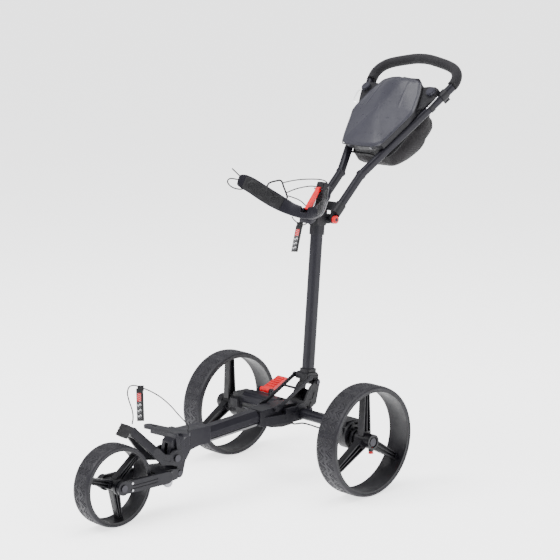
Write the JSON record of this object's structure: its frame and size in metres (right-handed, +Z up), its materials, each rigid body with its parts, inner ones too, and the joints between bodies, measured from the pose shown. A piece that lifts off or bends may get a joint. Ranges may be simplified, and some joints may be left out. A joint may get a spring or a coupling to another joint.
{
  "type": "golf push trolley",
  "caption": "Three-wheel golf push trolley with folding stem, handle and front fork, storage console, bag supports and foot brake.",
  "frame": {"origin": "on the ground, at the centre of the length and width of the trolley", "axes": "+Z up; -Y is the travel direction, towards the single front wheel; +X is the trolley's left side"},
  "size_m": [0.59, 1.247, 1.1152],
  "materials": {
    "frame_metal": "satin powder coat",
    "moulded": "fine textured matte",
    "lid_plastic": "satin with crisp facets",
    "red_plastic": "satin",
    "tyre": "matt with shallow tread",
    "foam": "matt foam",
    "rubber_black": "matt",
    "net_fabric": "woven mesh",
    "elastic": "braided",
    "label": "woven label",
    "steel": "brushed",
    "chrome": "polished"
  },
  "bodies": {
    "chassis": {"main_tube": "frame_metal", "rear_casting": "moulded", "axle_arm_l": "frame_metal", "axle_arm_r": "frame_metal", "brake_housing_l": "moulded", "brake_housing_r": "moulded", "axle_pins": "steel", "stem_support": "moulded", "chassis_pins": "steel", "brake_cable_box": "moulded", "brake_cables": "rubber_black", "front_casting": "moulded", "front_lugs": "moulded"},
    "brake_pedal": {"brake_pedal": "red_plastic"},
    "brake_pin_left": {"brake_pin_l": "steel"},
    "brake_pin_right": {"brake_pin_r": "steel"},
    "brace": {"brace_bars": "frame_metal"},
    "stem": {"stem_foot": "moulded", "stem_tube": "frame_metal", "stem_collar": "moulded", "stem_head": "moulded", "cradle_band": "frame_metal", "cradle_pads": "rubber_black", "strap_hooks": "moulded", "strap_upper": "elastic", "strap_tail": "elastic", "tag_upper": "label", "head_pins": "steel"},
    "latch": {"latch_lever": "red_plastic", "latch_bail": "steel"},
    "handle": {"handle_yoke": "moulded", "pivot_caps": "red_plastic", "handle_tube_l": "frame_metal", "handle_tube_r": "frame_metal", "grip_core": "frame_metal", "grip_foam": "foam", "tube_clamps": "moulded", "console_tray": "moulded", "console_pouch": "net_fabric", "lid_pins": "steel", "clip_wires": "chrome"},
    "lid": {"console_lid": "lid_plastic"},
    "knob_left": {"console_knob_l": "moulded"},
    "knob_right": {"console_knob_r": "moulded"},
    "fork": {"fork": "moulded", "fork_bolts": "steel", "front_axle": "steel"},
    "tracking_wheel": {"tracking_wheel": "steel"},
    "front_wheel": {"tyre_front": "tyre", "wheel_front": "moulded"},
    "wheel_left": {"tyre_l": "tyre", "wheel_l": "moulded"},
    "button_left": {"release_button_l": "red_plastic"},
    "wheel_right": {"tyre_r": "tyre", "wheel_r": "moulded"},
    "button_right": {"release_button_r": "red_plastic"},
    "foot": {"foot_frame": "moulded", "foot_pad": "rubber_black", "tag_lower": "label", "strap_lower": "elastic"}
  },
  "joints": [
    {"name": "stem_fold", "type": "hinge", "parent": "chassis", "child": "stem", "pos_m": [0, 0.16946, 0.248], "axis": [1, 0, 0], "range_deg": [0, 76]},
    {"name": "brace_swing", "type": "hinge", "parent": "chassis", "child": "brace", "pos_m": [0, 0.01046, 0.203], "axis": [1, 0, 0], "range_deg": [-17.5, 0]},
    {"name": "fork_fold", "type": "hinge", "parent": "chassis", "child": "fork", "pos_m": [0, -0.32354, 0.097], "axis": [1, 0, 0], "range_deg": [0, 150]},
    {"name": "handle_fold", "type": "hinge", "parent": "stem", "child": "handle", "pos_m": [0, 0.21949, 0.69104], "axis": [1, 0, 0], "range_deg": [-100, 0]},
    {"name": "latch_open", "type": "hinge", "parent": "stem", "child": "latch", "pos_m": [0, 0.1965, 0.7725], "axis": [1, 0, 0], "range_deg": [-35, 0]},
    {"name": "lid_open", "type": "hinge", "parent": "handle", "child": "lid", "pos_m": [0, 0.36127, 0.87251], "axis": [1, 0, 0], "range_deg": [0, 95]},
    {"name": "knob_left_turn", "type": "hinge", "parent": "handle", "child": "knob_left", "pos_m": [0.121, 0.50934, 1.02003], "axis": [0, -0.6959, 0.7181], "range_deg": [-90, 90]},
    {"name": "knob_right_turn", "type": "hinge", "parent": "handle", "child": "knob_right", "pos_m": [-0.121, 0.50934, 1.02003], "axis": [0, -0.6959, 0.7181], "range_deg": [-90, 90]},
    {"name": "pedal_press", "type": "hinge", "parent": "chassis", "child": "brake_pedal", "pos_m": [-0.134, 0.12746, 0.203], "axis": [1, 0, 0], "range_deg": [-18, 0]},
    {"name": "brake_pin_left_slide", "type": "slide", "parent": "chassis", "child": "brake_pin_left", "axis": [1, 0, 0], "range_m": [0, 0.012]},
    {"name": "brake_pin_right_slide", "type": "slide", "parent": "chassis", "child": "brake_pin_right", "axis": [-1, 0, 0], "range_m": [0, 0.012]},
    {"name": "wheel_left_spin", "type": "hinge", "parent": "chassis", "child": "wheel_left", "pos_m": [0.2615, 0.10746, 0.1475], "axis": [1, 0, 0], "continuous": true},
    {"name": "wheel_right_spin", "type": "hinge", "parent": "chassis", "child": "wheel_right", "pos_m": [-0.2615, 0.10746, 0.1475], "axis": [1, 0, 0], "continuous": true},
    {"name": "front_wheel_spin", "type": "hinge", "parent": "fork", "child": "front_wheel", "pos_m": [0, -0.51954, 0.104], "axis": [1, 0, 0], "continuous": true},
    {"name": "tracking_turn", "type": "hinge", "parent": "fork", "child": "tracking_wheel", "pos_m": [0.014, -0.35454, 0.077], "axis": [1, 0, 0], "range_deg": [-90, 90]},
    {"name": "button_left_press", "type": "slide", "parent": "wheel_left", "child": "button_left", "axis": [0, 0, 1], "range_m": [0, 0.0028], "stiffness_N_per_m": 400, "springref_m": -0.0005},
    {"name": "button_right_press", "type": "slide", "parent": "wheel_right", "child": "button_right", "axis": [0, 0, 1], "range_m": [0, 0.0028], "stiffness_N_per_m": 400, "springref_m": -0.0005},
    {"name": "foot_tilt", "type": "hinge", "parent": "chassis", "child": "foot", "pos_m": [0, -0.33954, 0.142], "axis": [1, 0, 0], "range_deg": [-15, 0], "deforming": ["strap_lower"]}
  ],
  "couplings": [
    {"joint": "brace_swing", "follows": "stem_fold", "ratio": -0.2225},
    {"joint": "fork_fold", "follows": "stem_fold", "ratio": 1.97},
    {"joint": "brake_pin_left_slide", "follows": "pedal_press", "m_per_rad": -0.038},
    {"joint": "brake_pin_right_slide", "follows": "pedal_press", "m_per_rad": -0.038}
  ]
}
